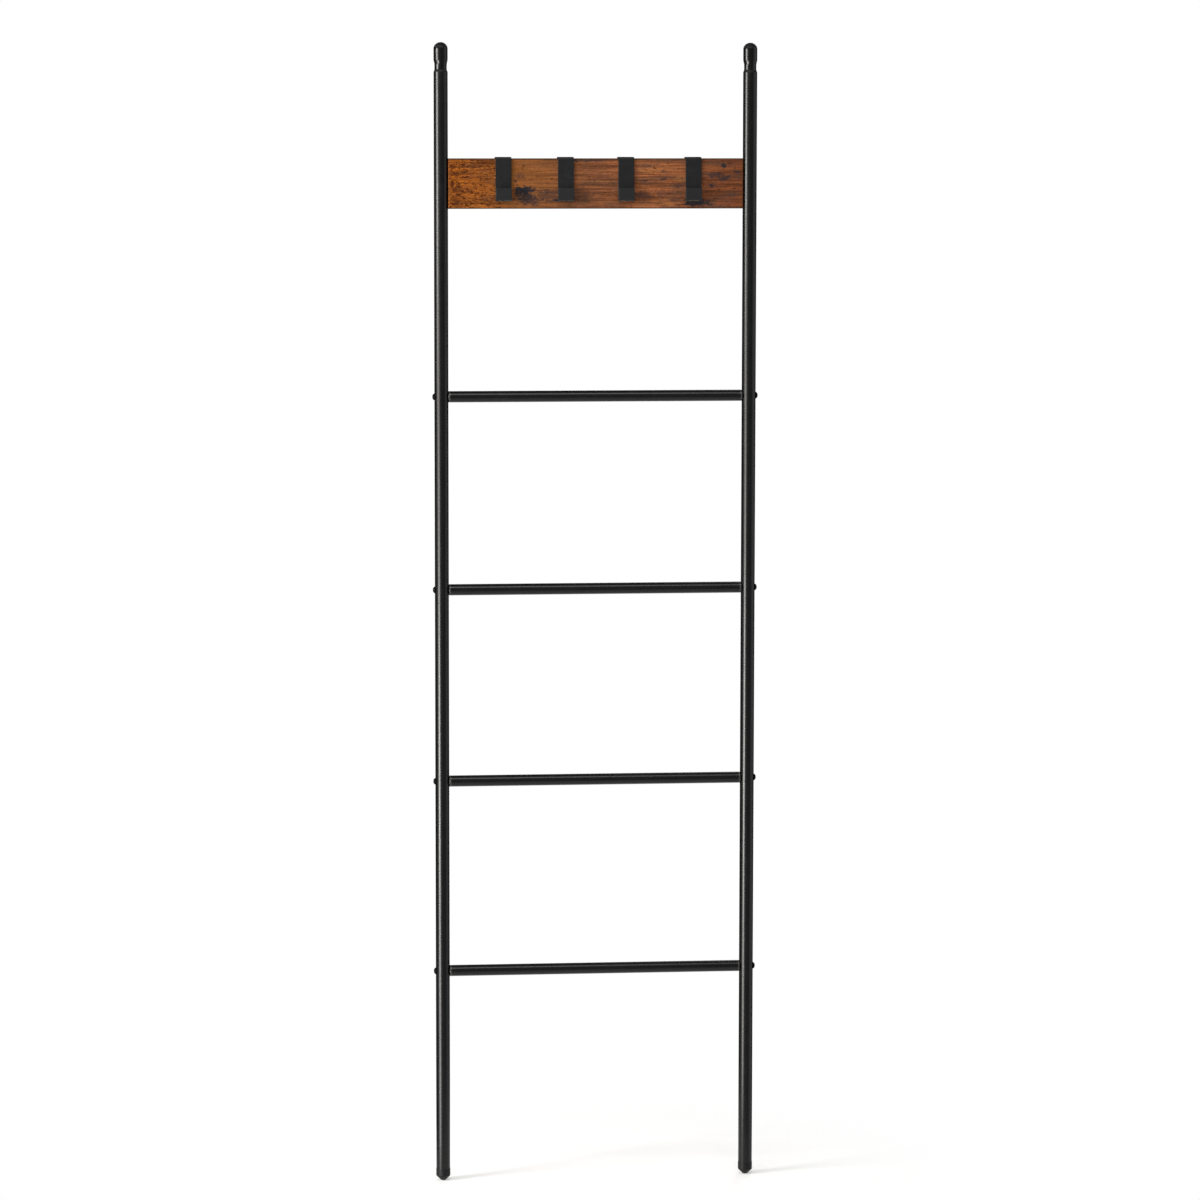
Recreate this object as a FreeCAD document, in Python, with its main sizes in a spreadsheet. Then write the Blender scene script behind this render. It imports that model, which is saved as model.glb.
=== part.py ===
# Towel ladder: two tube legs, round rungs bolted between them, and a board near the top
# that carries loose strip hooks. Millimetres, +Z up, front towards -Y, origin on the floor
# midway between the feet.
import FreeCAD, Part
import math
import os

import Sketcher

# Each entry is a driving dimension: its name and its value in millimetres.
DIMENSIONS = (
    # overall: foot tip to cap top, leg axis to leg axis, and what hangs where
    ("ladder_height", "1639"),
    ("leg_spacing", "441"),
    ("board_drop", "163.6"),
    ("top_rung_drop", "266.9"),
    ("lowest_rung_height", "308"),
    ("rung_count", "4"),
    # tubes
    ("leg_diameter", "20"),
    ("leg_wall", "1.2"),
    ("rung_diameter", "16"),
    ("rung_wall", "1"),
    # moulded plugs inside the tubes, gap on each side
    ("plug_clearance", "0.1"),
    # top cap, from the leg's end upwards
    ("cap_plug_length", "18"),
    ("cap_step_height", "3.2"),
    ("cap_neck_diameter", "17.4"),
    ("cap_neck_length", "8.1"),
    ("cap_taper_height", "5.3"),
    ("cap_side_height", "17.6"),
    ("cap_dome_height", "7.6"),
    ("cap_dome_rounding", "8"),
    ("cap_shoulder_rounding", "12"),
    ("cap_step_rounding", "4"),
    # foot, from the leg's end downwards
    ("foot_plug_length", "22"),
    ("foot_diameter", "20.6"),
    ("foot_rim_height", "10.5"),
    ("foot_cone_height", "7"),
    ("foot_rim_rounding", "2"),
    ("foot_tip_diameter", "6"),
    ("foot_tip_rounding", "2.5"),
    # threaded plug in each rung end
    ("rung_plug_flange", "2.5"),
    ("rung_plug_length", "16"),
    ("rung_plug_rounding", "0.8"),
    # button-head bolt through the leg into the rung plug
    ("bolt_diameter", "5"),
    ("bolt_grip_past_leg", "15"),
    ("bolt_head_diameter", "9.5"),
    ("bolt_head_height", "2.75"),
    ("bolt_head_edge", "0.6"),
    ("bolt_head_flat", "4.6"),
    ("bolt_key_width", "3"),
    ("bolt_key_depth", "1.6"),
    ("bolt_hole_clearance", "0.3"),
    ("bolt_thread_clearance", "0.05"),
    # board and its edging strips
    ("board_height", "71"),
    ("board_thickness", "15"),
    ("board_end_clearance", "0.2"),
    ("edging_thickness", "1.5"),
    ("edging_rounding", "1"),
    # steel tab behind each board end, reaching this far in from the leg
    ("tab_reach", "21.5"),
    ("tab_height", "44"),
    ("tab_thickness", "3"),
    ("tab_corner_radius", "4"),
    ("tab_screw_spacing", "26"),
    ("tab_screw_inset", "10"),
    # screw from behind through the tab into the board
    ("screw_diameter", "4"),
    ("screw_grip_in_board", "10.5"),
    ("screw_point_length", "2.5"),
    ("screw_head_diameter", "8"),
    ("screw_head_height", "2.4"),
    ("screw_head_edge", "0.8"),
    ("screw_slot_length", "4.4"),
    ("screw_slot_width", "1.1"),
    ("screw_slot_depth", "1.2"),
    ("screw_hole_clearance", "0.25"),
    ("screw_pilot_clearance", "0.05"),
    # strip hook folded over the board
    ("hook_width", "22.5"),
    ("hook_thickness", "2"),
    ("hook_drop", "60.5"),
    ("hook_back_drop", "26"),
    ("hook_lip_height", "19"),
    ("hook_gap", "7"),
    ("hook_fold_radius", "0.8"),
    ("hook_toe_radius", "2"),
    ("hook_edge_rounding", "0.4"),
    ("hook_clearance", "0.3"),
)

# Sizes and places that follow from the driving dimensions.
FITS = (
    ("leg_radius", "dims.leg_diameter / 2"),
    ("leg_bore", "dims.leg_diameter - 2 * dims.leg_wall"),
    ("leg_plug_radius", "fits.leg_bore / 2 - dims.plug_clearance"),
    ("leg_start", "dims.foot_rim_height + dims.foot_cone_height"),
    ("cap_neck_start", "dims.cap_step_height"),
    ("cap_neck_end", "fits.cap_neck_start + dims.cap_neck_length"),
    ("cap_side_start", "fits.cap_neck_end + dims.cap_taper_height"),
    ("cap_side_end", "fits.cap_side_start + dims.cap_side_height"),
    ("cap_top", "fits.cap_side_end + dims.cap_dome_height"),
    ("leg_end", "dims.ladder_height - fits.cap_top"),
    ("leg_length", "fits.leg_end - fits.leg_start"),
    ("inside_width", "dims.leg_spacing - dims.leg_diameter"),
    ("board_top", "dims.ladder_height - dims.board_drop"),
    ("board_middle", "fits.board_top - dims.board_height / 2"),
    ("top_rung_height", "fits.board_top - dims.board_height - dims.top_rung_drop"),
    ("rung_pitch", "(fits.top_rung_height - dims.lowest_rung_height) / (dims.rung_count - 1)"),
    ("rung_length", "fits.inside_width - 2 * dims.rung_plug_flange"),
    ("rung_bore", "dims.rung_diameter - 2 * dims.rung_wall"),
    ("rung_plug_radius", "fits.rung_bore / 2 - dims.plug_clearance"),
    ("rung_plug_end", "dims.rung_plug_flange + dims.rung_plug_length"),
    ("bolt_hole", "dims.bolt_diameter + 2 * dims.bolt_hole_clearance"),
    ("bolt_thread_radius", "dims.bolt_diameter / 2 + dims.bolt_thread_clearance"),
    ("bolt_length", "dims.leg_diameter + dims.bolt_grip_past_leg"),
    ("bolt_key_corner", "dims.bolt_key_width / sqrt(3)"),
    ("board_length", "fits.inside_width - 2 * dims.board_end_clearance"),
    ("core_length", "fits.board_length - 2 * dims.edging_thickness"),
    ("core_height", "dims.board_height - 2 * dims.edging_thickness"),
    ("board_back", "dims.board_thickness / 2"),
    ("tab_middle", "fits.board_back + dims.tab_thickness / 2"),
    ("tab_back", "fits.board_back + dims.tab_thickness"),
    ("tab_end", "fits.leg_radius + dims.tab_reach"),
    ("tab_screw_place", "fits.tab_end - dims.tab_screw_inset"),
    ("leg_side_at_tab", "sqrt(fits.leg_radius * fits.leg_radius - fits.board_back * fits.board_back)"),
    ("tab_hole", "dims.screw_diameter + 2 * dims.screw_hole_clearance"),
    ("screw_pilot", "dims.screw_diameter + 2 * dims.screw_pilot_clearance"),
    ("screw_length", "dims.tab_thickness + dims.screw_grip_in_board"),
    ("hook_side", "dims.board_thickness / 2 + dims.hook_clearance + dims.hook_thickness / 2"),
    ("hook_lip_side", "fits.hook_side + dims.hook_gap + dims.hook_thickness"),
    ("hook_fold_middle", "dims.hook_fold_radius + dims.hook_thickness / 2"),
    ("hook_toe_middle", "dims.hook_toe_radius + dims.hook_thickness / 2"),
)

# How far behind the leg a tab's end laps, as a share of where the board's back meets the leg.
TAB_LAP_SHARE = 0.5
# Hook places along the board, as shares of its length from the middle, left to right.
HOOK_PLACE_SHARES = (-0.3144, -0.1034, 0.1012, 0.3301)
# Left pieces point towards +X, right pieces towards -X.
SIDES = (("left", 1), ("right", -1))

doc = FreeCAD.newDocument("towel_ladder")


def fill_sheet(name, rows, is_formula):
    """A sheet with one row for each name, and the name as its value's alias."""
    sheet = doc.addObject("Spreadsheet::Sheet", name)
    for number, (alias, value) in enumerate(rows, start=1):
        sheet.set(f"A{number}", alias)
        sheet.set(f"B{number}", f"={value.replace(name + '.', '')}" if is_formula else value)
        sheet.setAlias(f"B{number}", alias)
    doc.recompute()
    return sheet


dims = fill_sheet("dims", DIMENSIONS, False)
fits = fill_sheet("fits", FITS, True)


def new_body(label):
    return doc.addObject("PartDesign::Body", label)


def origin_feature(body, role):
    return next(feature for feature in body.Origin.OriginFeatures if feature.Role == role)


def new_sketch(body, name, plane):
    sketch = body.newObject("Sketcher::SketchObject", f"{body.Name}_{name}")
    sketch.AttachmentSupport = (origin_feature(body, plane), "")
    sketch.MapMode = "FlatFace"
    return sketch


def place(item, across="0", depth="0", height="0"):
    """Bind an item's place to expressions along X, Y and Z."""
    for axis, expression in (("x", across), ("y", depth), ("z", height)):
        item.setExpression(f".Placement.Base.{axis}", expression)


def hold(sketch, kind, geometry, point, expression):
    """Hold a point's X or Y distance from the sketch's origin, or put it on the axis at zero."""
    if expression == "0":
        axis = -2 if kind == "DistanceX" else -1
        sketch.addConstraint(Sketcher.Constraint("PointOnObject", geometry, point, axis))
        return
    value = dims.evalExpression(expression)
    index = sketch.addConstraint(Sketcher.Constraint(kind, -1, 1, geometry, point, value))
    sketch.setExpression(f"Constraints[{index}]", expression)


def hold_size(sketch, kind, geometry, expression):
    """Hold a circle's diameter or an arc's radius."""
    value = dims.evalExpression(expression)
    index = sketch.addConstraint(Sketcher.Constraint(kind, geometry, value))
    sketch.setExpression(f"Constraints[{index}]", expression)


def add_circle(sketch, diameter, across="0", up="0"):
    centre = FreeCAD.Vector(dims.evalExpression(across), dims.evalExpression(up))
    radius = dims.evalExpression(diameter) / 2
    circle = sketch.addGeometry(Part.Circle(centre, FreeCAD.Vector(0, 0, 1), radius))
    hold(sketch, "DistanceX", circle, 3, across)
    hold(sketch, "DistanceY", circle, 3, up)
    hold_size(sketch, "Diameter", circle, diameter)


def add_outline(sketch, corners, domed_side=None, turning_axis="V_Axis", roundings=None):
    """A closed outline of straight sides through corners given as expressions.

    The side that leaves corner number domed_side is an arc centred on the turning axis.
    A corner whose number is in roundings is rounded with that radius.
    """
    points = [FreeCAD.Vector(dims.evalExpression(x), dims.evalExpression(y)) for x, y in corners]
    trimmed = trim_corners(points, roundings or {})
    ends = []
    for number, start in enumerate(points):
        end = points[(number + 1) % len(points)]
        if number == domed_side:
            side = sketch.addGeometry(short_arc(dome_centre(start, end, turning_axis), start, end))
            axis = -2 if turning_axis == "V_Axis" else -1
            sketch.addConstraint(Sketcher.Constraint("PointOnObject", side, 3, axis))
        else:
            side = sketch.addGeometry(Part.LineSegment(*trimmed[number]))
        ends.append((side, *end_numbers(sketch, side, start)))
    for number, (x, y) in enumerate(corners):
        before, after = ends[number - 1], ends[number]
        if roundings and number in roundings:
            round_corner(sketch, points[number], (x, y), before, after, roundings[number])
            continue
        sketch.addConstraint(Sketcher.Constraint("Coincident", before[0], before[2], after[0], after[1]))
        hold(sketch, "DistanceX", after[0], after[1], x)
        hold(sketch, "DistanceY", after[0], after[1], y)


def trim_corners(points, roundings):
    """The two ends of each side of an outline, drawn back from the corners that are rounded."""
    count = len(points)
    steps = [(points[(number + 1) % count] - points[number]).normalize() for number in range(count)]
    setbacks = [0] * count
    for number, radius in roundings.items():
        setbacks[number] = size(radius) * math.tan(steps[number - 1].getAngle(steps[number]) / 2)
    return [
        (points[number] + steps[number] * setbacks[number],
         points[(number + 1) % count] - steps[number] * setbacks[(number + 1) % count])
        for number in range(count)
    ]


def round_corner(sketch, corner, place_of_corner, before, after, radius):
    """An arc tangent to the sides before and after a corner, which stays as a construction point."""
    mark = sketch.addGeometry(Part.Point(corner), True)
    for kind, expression in zip(("DistanceX", "DistanceY"), place_of_corner):
        hold(sketch, kind, mark, 1, expression)
    for side in (before, after):
        sketch.addConstraint(Sketcher.Constraint("PointOnObject", mark, 1, side[0]))
    first = sketch.getPoint(before[0], before[2])
    last = sketch.getPoint(after[0], after[1])
    to_middle = (first + last) / 2 - corner
    centre = corner + to_middle * ((first - corner).Length / to_middle.Length)**2
    arc = sketch.addGeometry(short_arc(centre, first, last))
    enter, leave = end_numbers(sketch, arc, first)
    sketch.addConstraint(Sketcher.Constraint("Tangent", before[0], before[2], arc, enter))
    sketch.addConstraint(Sketcher.Constraint("Tangent", arc, leave, after[0], after[1]))
    hold_size(sketch, "Radius", arc, radius)


def end_numbers(sketch, geometry, start):
    """The numbers of a line's or arc's first and last point, the first being the one at start."""
    curve = sketch.Geometry[geometry]
    starts_there = (curve.StartPoint - start).Length < (curve.EndPoint - start).Length
    return (1, 2) if starts_there else (2, 1)


def dome_centre(start, end, turning_axis):
    """The point on the turning axis that is as far from start as from end."""
    rise = end.Length**2 - start.Length**2
    chord = end - start
    if turning_axis == "V_Axis":
        return FreeCAD.Vector(0, rise / (2 * chord.y))
    return FreeCAD.Vector(rise / (2 * chord.x), 0)


def short_arc(centre, start, end):
    """The arc of less than a half circle about the centre between two points."""
    circle = Part.Circle(centre, FreeCAD.Vector(0, 0, 1), (start - centre).Length)
    first, last = (math.atan2(point.y - centre.y, point.x - centre.x) for point in (start, end))
    sweep = (last - first) % math.tau
    if sweep > math.pi:
        return Part.ArcOfCircle(circle, last, last + math.tau - sweep)
    return Part.ArcOfCircle(circle, first, first + sweep)


def add_pad(body, sketch, length):
    """A pad of that length, half to each side of the sketch."""
    pad = body.newObject("PartDesign::Pad", f"{sketch.Name}_pad")
    pad.Profile = sketch
    pad.SideType = "Symmetric"
    pad.setExpression("Length", length)
    return pad


def add_through_cut(body, sketch):
    cut = body.newObject("PartDesign::Pocket", f"{sketch.Name}_cut")
    cut.Profile = sketch
    cut.SideType = "Symmetric"
    cut.Type = "ThroughAll"
    return cut


def add_turned(body, sketch, axis):
    turned = body.newObject("PartDesign::Revolution", f"{sketch.Name}_turned")
    turned.Profile = sketch
    turned.ReferenceAxis = (sketch, [axis])
    turned.Angle = 360
    return turned


def round_edges(body, feature, points, radius):
    """Round the edges of a feature that pass nearest to the given points."""
    doc.recompute()
    names = []
    for point in points:
        near = Part.Vertex(point)
        gaps = [edge.distToShape(near)[0] for edge in feature.Shape.Edges]
        names.append(f"Edge{gaps.index(min(gaps)) + 1}")
    rounding = body.newObject("PartDesign::Fillet", f"{feature.Name}_rounding")
    rounding.Base = (feature, names)
    rounding.setExpression("Radius", radius)


def size(name):
    """The value of a driving or following size."""
    return dims.evalExpression(name)


def make_tube(label, plane, diameter, bore, length):
    body = new_body(label)
    ring = new_sketch(body, "ring", plane)
    add_circle(ring, diameter)
    add_circle(ring, bore)
    add_pad(body, ring, length)
    return body


def make_leg(label, side):
    """A leg tube with a cross hole through both walls at each rung."""
    leg = make_tube(label, "XY_Plane", "dims.leg_diameter", "fits.leg_bore", "fits.leg_length")
    hole = new_sketch(leg, "bolt_hole", "YZ_Plane")
    middle = "(fits.leg_start + fits.leg_end) / 2"
    add_circle(hole, "fits.bolt_hole", "0", f"dims.lowest_rung_height - {middle}")
    cut = add_through_cut(leg, hole)
    row = leg.newObject("PartDesign::LinearPattern", f"{label}_bolt_holes")
    row.Originals = [cut]
    row.Direction = (hole, ["V_Axis"])
    row.setExpression("Length", "fits.top_rung_height - dims.lowest_rung_height")
    row.setExpression("Occurrences", "dims.rung_count")
    leg.Tip = row
    place(leg, across=f"{-side} * dims.leg_spacing / 2", height=middle)
    return leg


def make_top_cap(label, side):
    """A bullet-shaped cap: plug, seat on the leg's end, step in to the neck, shoulder, side and dome."""
    cap = new_body(label)
    profile = new_sketch(cap, "profile", "XZ_Plane")
    corners = (
        ("0", "-dims.cap_plug_length"),
        ("fits.leg_plug_radius", "-dims.cap_plug_length"),
        ("fits.leg_plug_radius", "0"),
        ("fits.leg_radius", "0"),
        ("dims.cap_neck_diameter / 2", "fits.cap_neck_start"),
        ("dims.cap_neck_diameter / 2", "fits.cap_neck_end"),
        ("fits.leg_radius", "fits.cap_side_start"),
        ("fits.leg_radius", "fits.cap_side_end"),
        ("0", "fits.cap_top"),
    )
    roundings = {
        4: "dims.cap_step_rounding",
        5: "dims.cap_shoulder_rounding",
        6: "dims.cap_shoulder_rounding",
    }
    add_outline(profile, corners, domed_side=7, roundings=roundings)
    turned = add_turned(cap, profile, "V_Axis")
    rim = FreeCAD.Vector(0, size("fits.leg_radius"), size("fits.cap_side_end"))
    round_edges(cap, turned, [rim], "dims.cap_dome_rounding")
    place(cap, across=f"{-side} * dims.leg_spacing / 2", height="fits.leg_end")
    return cap


def make_foot(label, side):
    """A moulded foot: plug up the leg, rim just wider than the leg, blunt cone with a flat tip."""
    foot = new_body(label)
    profile = new_sketch(foot, "profile", "XZ_Plane")
    corners = (
        ("0", "-fits.leg_start"),
        ("dims.foot_tip_diameter / 2", "-fits.leg_start"),
        ("dims.foot_diameter / 2", "-dims.foot_rim_height"),
        ("dims.foot_diameter / 2", "0"),
        ("fits.leg_plug_radius", "0"),
        ("fits.leg_plug_radius", "dims.foot_plug_length"),
        ("0", "dims.foot_plug_length"),
    )
    roundings = {1: "dims.foot_tip_rounding", 2: "dims.foot_rim_rounding"}
    add_outline(profile, corners, roundings=roundings)
    add_turned(foot, profile, "V_Axis")
    place(foot, across=f"{-side} * dims.leg_spacing / 2", height="fits.leg_start")
    return foot


def make_rung_plug(label, side, height):
    """A threaded plug: flange against the leg, spigot inside the rung, bore for the bolt."""
    plug = new_body(label)
    profile = new_sketch(plug, "profile", "XZ_Plane")
    corners = (
        ("0", "fits.bolt_thread_radius"),
        (f"{side} * fits.rung_plug_end", "fits.bolt_thread_radius"),
        (f"{side} * fits.rung_plug_end", "fits.rung_plug_radius"),
        (f"{side} * dims.rung_plug_flange", "fits.rung_plug_radius"),
        (f"{side} * dims.rung_plug_flange", "dims.rung_diameter / 2"),
        ("0", "dims.rung_diameter / 2"),
    )
    add_outline(profile, corners)
    turned = add_turned(plug, profile, "H_Axis")
    rim = FreeCAD.Vector(0, size("dims.rung_diameter / 2"), 0)
    round_edges(plug, turned, [rim], "dims.rung_plug_rounding")
    place(plug, across=f"{-side} * fits.inside_width / 2", height=height)
    return plug


def make_bolt(label, side, height):
    """A button-head bolt with a key socket, its head against the leg's outer side."""
    bolt = new_body(label)
    profile = new_sketch(bolt, "profile", "XZ_Plane")
    corners = (
        (f"{-side} * dims.bolt_head_height", "0"),
        (f"{-side} * dims.bolt_head_height", "dims.bolt_head_flat / 2"),
        (f"{-side} * dims.bolt_head_edge", "dims.bolt_head_diameter / 2"),
        ("0", "dims.bolt_head_diameter / 2"),
        ("0", "dims.bolt_diameter / 2"),
        (f"{side} * fits.bolt_length", "dims.bolt_diameter / 2"),
        (f"{side} * fits.bolt_length", "0"),
    )
    add_outline(profile, corners, domed_side=1, turning_axis="H_Axis")
    add_turned(bolt, profile, "H_Axis")
    socket = new_sketch(bolt, "key_socket", "YZ_Plane")
    socket.setExpression("AttachmentOffset.Base.z", f"{-side} * dims.bolt_head_height")
    turns = [math.radians(60 * number) for number in range(6)]
    shares = [(round(math.cos(turn), 6), round(math.sin(turn), 6)) for turn in turns]
    add_outline(socket, [(scaled(across, "fits.bolt_key_corner"), scaled(up, "fits.bolt_key_corner"))
                         for across, up in shares])
    cut = bolt.newObject("PartDesign::Pocket", f"{label}_key_cut")
    cut.Profile = socket
    cut.Reversed = side > 0
    cut.setExpression("Length", "dims.bolt_key_depth")
    place(bolt, across=f"{-side} * (dims.leg_spacing / 2 + fits.leg_radius)", height=height)
    return bolt


def scaled(share, length):
    """The expression of a share of a length, plain zero where the share is zero."""
    return f"{share} * {length}" if share else "0"


def make_board():
    """The board's core, with blind pilot holes from behind for the tab screws."""
    board = new_body("hook_board")
    face = new_sketch(board, "face", "XZ_Plane")
    add_rectangle(face, "fits.core_length", "fits.core_height")
    add_pad(board, face, "dims.board_thickness")
    pilots = new_sketch(board, "pilots", "XZ_Plane")
    pilots.setExpression("AttachmentOffset.Base.z", "-fits.board_back")
    for _, side in SIDES:
        for end in (-1, 1):
            add_circle(pilots, "fits.screw_pilot",
                       f"{-side} * (dims.leg_spacing / 2 - fits.tab_screw_place)",
                       f"{end} * dims.tab_screw_spacing / 2")
    cut = board.newObject("PartDesign::Pocket", "hook_board_pilot_cut")
    cut.Profile = pilots
    cut.Reversed = True
    cut.setExpression("Length", "dims.screw_grip_in_board")
    place(board, height="fits.board_middle")
    return board


def add_rectangle(sketch, width, height):
    """A rectangle centred on the sketch's origin."""
    corners = [(f"{across} * {width} / 2", f"{up} * {height} / 2")
               for across, up in ((-1, -1), (1, -1), (1, 1), (-1, 1))]
    add_outline(sketch, corners)


def make_long_edging(label, up):
    """An edging strip along the board's top (up 1) or bottom (up -1), outer edges rounded."""
    strip = new_body(label)
    section = new_sketch(strip, "section", "YZ_Plane")
    add_rectangle(section, "dims.board_thickness", "dims.edging_thickness")
    pad = add_pad(strip, section, "fits.board_length")
    outer = up * size("dims.edging_thickness / 2")
    edges = [FreeCAD.Vector(0, depth * size("fits.board_back"), outer) for depth in (-1, 1)]
    round_edges(strip, pad, edges, "dims.edging_rounding")
    place(strip, height=f"fits.board_middle + {up} * (fits.core_height + dims.edging_thickness) / 2")
    return strip


def make_end_edging(label, side):
    """An edging strip up one end of the board, between the long strips."""
    strip = new_body(label)
    section = new_sketch(strip, "section", "XY_Plane")
    add_rectangle(section, "dims.edging_thickness", "dims.board_thickness")
    pad = add_pad(strip, section, "fits.core_height")
    outer = -side * size("dims.edging_thickness / 2")
    edges = [FreeCAD.Vector(outer, depth * size("fits.board_back"), 0) for depth in (-1, 1)]
    round_edges(strip, pad, edges, "dims.edging_rounding")
    across = f"{-side} * (fits.core_length + dims.edging_thickness) / 2"
    place(strip, across=across, height="fits.board_middle")
    return strip


def make_tab(label, side):
    """A flat steel tab behind a board end, its outer end coped to the leg, with two screw holes."""
    tab = new_body(label)
    face = new_sketch(tab, "face", "XZ_Plane")
    lap = f"{side * TAB_LAP_SHARE} * fits.leg_side_at_tab"
    corners = (
        (lap, "-dims.tab_height / 2"),
        (f"{side} * fits.tab_end", "-dims.tab_height / 2"),
        (f"{side} * fits.tab_end", "dims.tab_height / 2"),
        (lap, "dims.tab_height / 2"),
    )
    add_outline(face, corners)
    for end in (-1, 1):
        up = f"{end} * dims.tab_screw_spacing / 2"
        add_circle(face, "fits.tab_hole", f"{side} * fits.tab_screw_place", up)
    pad = add_pad(tab, face, "dims.tab_thickness")
    inner = side * size("fits.tab_end")
    edges = [FreeCAD.Vector(inner, 0, end * size("dims.tab_height / 2")) for end in (-1, 1)]
    round_edges(tab, pad, edges, "dims.tab_corner_radius")
    cope = new_sketch(tab, "cope", "XY_Plane")
    add_circle(cope, "dims.leg_diameter", "0", "-fits.tab_middle")
    add_through_cut(tab, cope)
    place(tab, f"{-side} * dims.leg_spacing / 2", "fits.tab_middle", "fits.board_middle")
    return tab


def make_screw(label, side, end):
    """A pan-head screw with a cross slot, driven from behind through the tab into the board."""
    screw = new_body(label)
    profile = new_sketch(screw, "profile", "XZ_Plane")
    corners = (
        ("0", "-fits.screw_length"),
        ("dims.screw_diameter / 2", "dims.screw_point_length - fits.screw_length"),
        ("dims.screw_diameter / 2", "0"),
        ("dims.screw_head_diameter / 2", "0"),
        ("dims.screw_head_diameter / 2", "dims.screw_head_edge"),
        ("0", "dims.screw_head_height"),
    )
    add_outline(profile, corners, domed_side=4)
    add_turned(screw, profile, "V_Axis")
    slot = new_sketch(screw, "slot", "XY_Plane")
    slot.setExpression("AttachmentOffset.Base.z", "dims.screw_head_height")
    reach = "dims.screw_slot_length / 2"
    half = "dims.screw_slot_width / 2"
    quarter = ((reach, half), (half, half), (half, reach))
    corners = []
    for right, up in ((1, 1), (-1, 1), (-1, -1), (1, -1)):
        turned_quarter = quarter if right == up else tuple(reversed(quarter))
        corners += [(f"{right} * {across}", f"{up} * {height}") for across, height in turned_quarter]
    add_outline(slot, corners)
    cut = screw.newObject("PartDesign::Pocket", f"{label}_slot_cut")
    cut.Profile = slot
    cut.setExpression("Length", "dims.screw_slot_depth")
    screw.Placement.Rotation = FreeCAD.Rotation(FreeCAD.Vector(1, 0, 0), -90)
    place(screw, f"{-side} * (dims.leg_spacing / 2 - fits.tab_screw_place)", "fits.tab_back",
          f"fits.board_middle + {end} * dims.tab_screw_spacing / 2")
    return screw


def make_hook(label, share):
    """A strip folded over the board's top edge, down its front and up again into a lip."""
    hook = new_body(label)
    path = new_sketch(hook, "path", "YZ_Plane")
    runs = (
        ("DistanceX", "fits.hook_side"),
        ("DistanceY", "dims.hook_thickness / 2"),
        ("DistanceX", "-fits.hook_side"),
        ("DistanceY", "dims.hook_thickness / 2 - dims.hook_drop"),
        ("DistanceX", "-fits.hook_lip_side"),
    )
    bends = 2 * ("fits.hook_fold_middle",) + 2 * ("fits.hook_toe_middle",)
    add_bent_path(path, runs, bends, "-dims.hook_back_drop", "dims.hook_lip_height - dims.hook_drop")
    section = new_sketch(hook, "section", "XY_Plane")
    section.setExpression("AttachmentOffset.Base.z", "-dims.hook_back_drop")
    edges = (("-", "-"), ("", "-"), ("", ""), ("-", ""))
    corners = [(f"{across}dims.hook_width / 2", f"fits.hook_side + {depth}dims.hook_thickness / 2")
               for across, depth in edges]
    add_outline(section, corners, roundings=dict.fromkeys(range(len(edges)), "dims.hook_edge_rounding"))
    strip = hook.newObject("PartDesign::AdditivePipe", f"{label}_strip")
    strip.Profile = section
    strip.Spine = (path, [f"Edge{number + 1}" for number in range(len(path.Geometry))])
    place(hook, across=f"{share} * fits.board_length", height="fits.board_top")
    return hook


def add_bent_path(sketch, runs, bends, start, end):
    """A path of upright and level runs joined by tangent bends, from a start to an end height."""
    values = [size(expression) for _, expression in runs]
    heads = [size(start)] + values + [size(end)]
    corners = []
    for number, (kind, _) in enumerate(runs):
        before, here = heads[number], heads[number + 1]
        across, up = (here, before) if kind == "DistanceX" else (before, here)
        corners.append(FreeCAD.Vector(across, up))
    corners.append(FreeCAD.Vector(values[-1], heads[-1]))
    radii = [size(expression) for expression in bends]
    steps = [(corners[number + 1] - corners[number]).normalize() for number in range(len(runs))]
    joined = []
    for number, (kind, expression) in enumerate(runs):
        first = corners[number] + steps[number] * (radii[number - 1] if number else 0)
        last = corners[number + 1] - steps[number] * (radii[number] if number < len(bends) else 0)
        run = sketch.addGeometry(Part.LineSegment(first, last))
        direction = "Vertical" if kind == "DistanceX" else "Horizontal"
        sketch.addConstraint(Sketcher.Constraint(direction, run))
        hold(sketch, kind, run, 1, expression)
        joined.append(run)
        if number < len(bends):
            leaving = steps[number + 1] * radii[number]
            bend = short_arc(last + leaving, last, corners[number + 1] + leaving)
            joined.append(sketch.addGeometry(bend))
    hold(sketch, "DistanceY", joined[0], 1, start)
    hold(sketch, "DistanceY", joined[-1], 2, end)
    for number, expression in enumerate(bends):
        before, bend, after = joined[2 * number:2 * number + 3]
        enter, leave = end_numbers(sketch, bend, sketch.Geometry[before].EndPoint)
        sketch.addConstraint(Sketcher.Constraint("Tangent", before, 2, bend, enter))
        sketch.addConstraint(Sketcher.Constraint("Tangent", bend, leave, after, 1))
        hold_size(sketch, "Radius", bend, expression)


def make_group(label, members):
    """One node of several identical fasteners."""
    group = doc.addObject("Part::Compound", label)
    group.Links = members
    return group


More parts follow.
